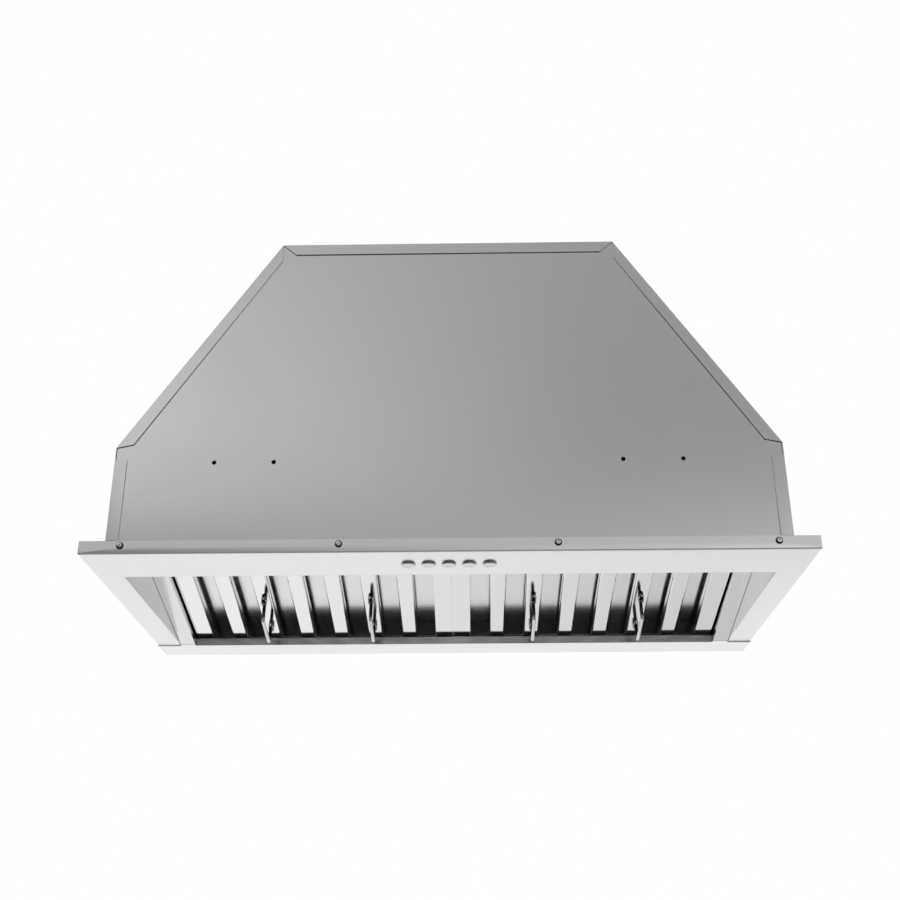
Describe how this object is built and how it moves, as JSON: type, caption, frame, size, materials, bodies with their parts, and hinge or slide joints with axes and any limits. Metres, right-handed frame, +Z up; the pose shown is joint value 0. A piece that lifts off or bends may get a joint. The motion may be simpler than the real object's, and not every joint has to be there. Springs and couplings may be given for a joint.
{
  "type": "range hood insert",
  "caption": "Insert range hood: tapered sheet-metal body, flanged rim, sloping baffle filters with drop handles, push buttons and a round duct collar.",
  "frame": {"origin": "middle of the rim in plan, on the cabinet seat, the plane where the flange rests against the cabinet", "axes": "+X to the user's right, +Y to the wall, +Z up towards the duct"},
  "size_m": [0.72, 0.3832, 0.4123],
  "materials": {
    "satin_steel": "satin stainless steel, fine brushed grain",
    "shell_steel": "plain mill-finish sheet, soft sheen",
    "bright_steel": "bright polished stainless steel",
    "zinc_steel": "zinc-coated sheet, dull",
    "chrome": "bright plated",
    "black_plastic": "matt moulded",
    "white_plastic": "moulded can",
    "board_green": "circuit board with parts",
    "motor_grey": "grey enamel",
    "lamp_lens": "frosted lens"
  },
  "bodies": {
    "hood": {"rim_pan": "satin_steel", "recess_wall_left": "satin_steel", "recess_wall_right": "satin_steel", "recess_front_wall": "satin_steel", "filter_tray": "satin_steel", "side_panel_left": "shell_steel", "side_panel_right": "shell_steel", "slope_panel_left": "shell_steel", "slope_panel_right": "shell_steel", "top_panel": "shell_steel", "front_panel": "shell_steel", "back_panel": "shell_steel", "duct_collar": "zinc_steel", "damper_pin": "zinc_steel", "cable_gland": "black_plastic", "blower_scroll": "zinc_steel", "blower_side_left": "zinc_steel", "blower_side_right": "zinc_steel", "blower_motor": "motor_grey", "motor_bracket": "zinc_steel", "inlet_guard_left": "black_plastic", "inlet_guard_right": "black_plastic", "switch_block": "black_plastic", "switch_board": "board_green", "control_box": "zinc_steel", "control_box_lid": "zinc_steel", "control_board": "board_green", "run_capacitor": "white_plastic", "lamp_body_left": "satin_steel", "lamp_body_right": "satin_steel", "lamp_lens_left": "lamp_lens", "lamp_lens_right": "lamp_lens", "catch_spring_left": "zinc_steel", "catch_spring_right": "zinc_steel", "lip_screw_1": "chrome", "lip_screw_2": "chrome", "lip_screw_3": "chrome", "lip_screw_4": "chrome"},
    "filter_left": {"filter_frame_left": "bright_steel", "rear_baffles_left": "bright_steel"},
    "filter_right": {"filter_frame_right": "bright_steel", "rear_baffles_right": "bright_steel"},
    "bail_left_a": {"handle_left_a": "chrome"},
    "bail_left_b": {"handle_left_b": "chrome"},
    "bail_right_a": {"handle_right_a": "chrome"},
    "bail_right_b": {"handle_right_b": "chrome"},
    "push_power": {"button_power": "chrome"},
    "push_low": {"button_low": "chrome"},
    "push_medium": {"button_medium": "chrome"},
    "push_high": {"button_high": "chrome"},
    "push_lamp": {"button_lamp": "chrome"},
    "fan": {"impeller": "zinc_steel", "motor_shaft": "zinc_steel"},
    "flap_front": {"damper_flap_front": "zinc_steel"},
    "flap_rear": {"damper_flap_rear": "zinc_steel"},
    "carbon_left": {"carbon_filter_left": "black_plastic"},
    "carbon_right": {"carbon_filter_right": "black_plastic"}
  },
  "joints": [
    {"name": "filter_left_swing", "type": "hinge", "parent": "hood", "child": "filter_left", "pos_m": [-0.156, -0.0722, 0.0432], "axis": [-1, 0, 0], "range_deg": [0, 65]},
    {"name": "filter_right_swing", "type": "hinge", "parent": "hood", "child": "filter_right", "pos_m": [0.156, -0.0722, 0.0432], "axis": [-1, 0, 0], "range_deg": [0, 65]},
    {"name": "bail_left_a_turn", "type": "hinge", "parent": "filter_left", "child": "bail_left_a", "pos_m": [-0.21795, 0.0847, 0.00476], "axis": [0, 0.9759, -0.2181], "range_deg": [-80, 80]},
    {"name": "bail_left_b_turn", "type": "hinge", "parent": "filter_left", "child": "bail_left_b", "pos_m": [-0.09405, 0.0847, 0.00476], "axis": [0, 0.9759, -0.2181], "range_deg": [-80, 80]},
    {"name": "bail_right_a_turn", "type": "hinge", "parent": "filter_right", "child": "bail_right_a", "pos_m": [0.09405, 0.0847, 0.00476], "axis": [0, 0.9759, -0.2181], "range_deg": [-80, 80]},
    {"name": "bail_right_b_turn", "type": "hinge", "parent": "filter_right", "child": "bail_right_b", "pos_m": [0.21795, 0.0847, 0.00476], "axis": [0, 0.9759, -0.2181], "range_deg": [-80, 80]},
    {"name": "push_power_press", "type": "slide", "parent": "hood", "child": "push_power", "axis": [0, 0, 1], "range_m": [0, 0.0018], "stiffness_N_per_m": 300},
    {"name": "push_low_press", "type": "slide", "parent": "hood", "child": "push_low", "axis": [0, 0, 1], "range_m": [0, 0.0018], "stiffness_N_per_m": 300},
    {"name": "push_medium_press", "type": "slide", "parent": "hood", "child": "push_medium", "axis": [0, 0, 1], "range_m": [0, 0.0018], "stiffness_N_per_m": 300},
    {"name": "push_high_press", "type": "slide", "parent": "hood", "child": "push_high", "axis": [0, 0, 1], "range_m": [0, 0.0018], "stiffness_N_per_m": 300},
    {"name": "push_lamp_press", "type": "slide", "parent": "hood", "child": "push_lamp", "axis": [0, 0, 1], "range_m": [0, 0.0018], "stiffness_N_per_m": 300},
    {"name": "fan_spin", "type": "hinge", "parent": "hood", "child": "fan", "pos_m": [0, -0.0675, 0.201], "axis": [1, 0, 0], "continuous": true},
    {"name": "flap_front_lift", "type": "hinge", "parent": "hood", "child": "flap_front", "pos_m": [0, 0, 0.3613], "axis": [-1, 0, 0], "range_deg": [0, 80]},
    {"name": "flap_rear_lift", "type": "hinge", "parent": "hood", "child": "flap_rear", "pos_m": [0, 0, 0.3613], "axis": [1, 0, 0], "range_deg": [0, 80]},
    {"name": "carbon_left_turn", "type": "hinge", "parent": "hood", "child": "carbon_left", "pos_m": [-0.0857, -0.0675, 0.201], "axis": [-1, 0, 0], "range_deg": [0, 42]},
    {"name": "carbon_right_turn", "type": "hinge", "parent": "hood", "child": "carbon_right", "pos_m": [0.0857, -0.0675, 0.201], "axis": [-1, 0, 0], "range_deg": [0, 42]}
  ]
}
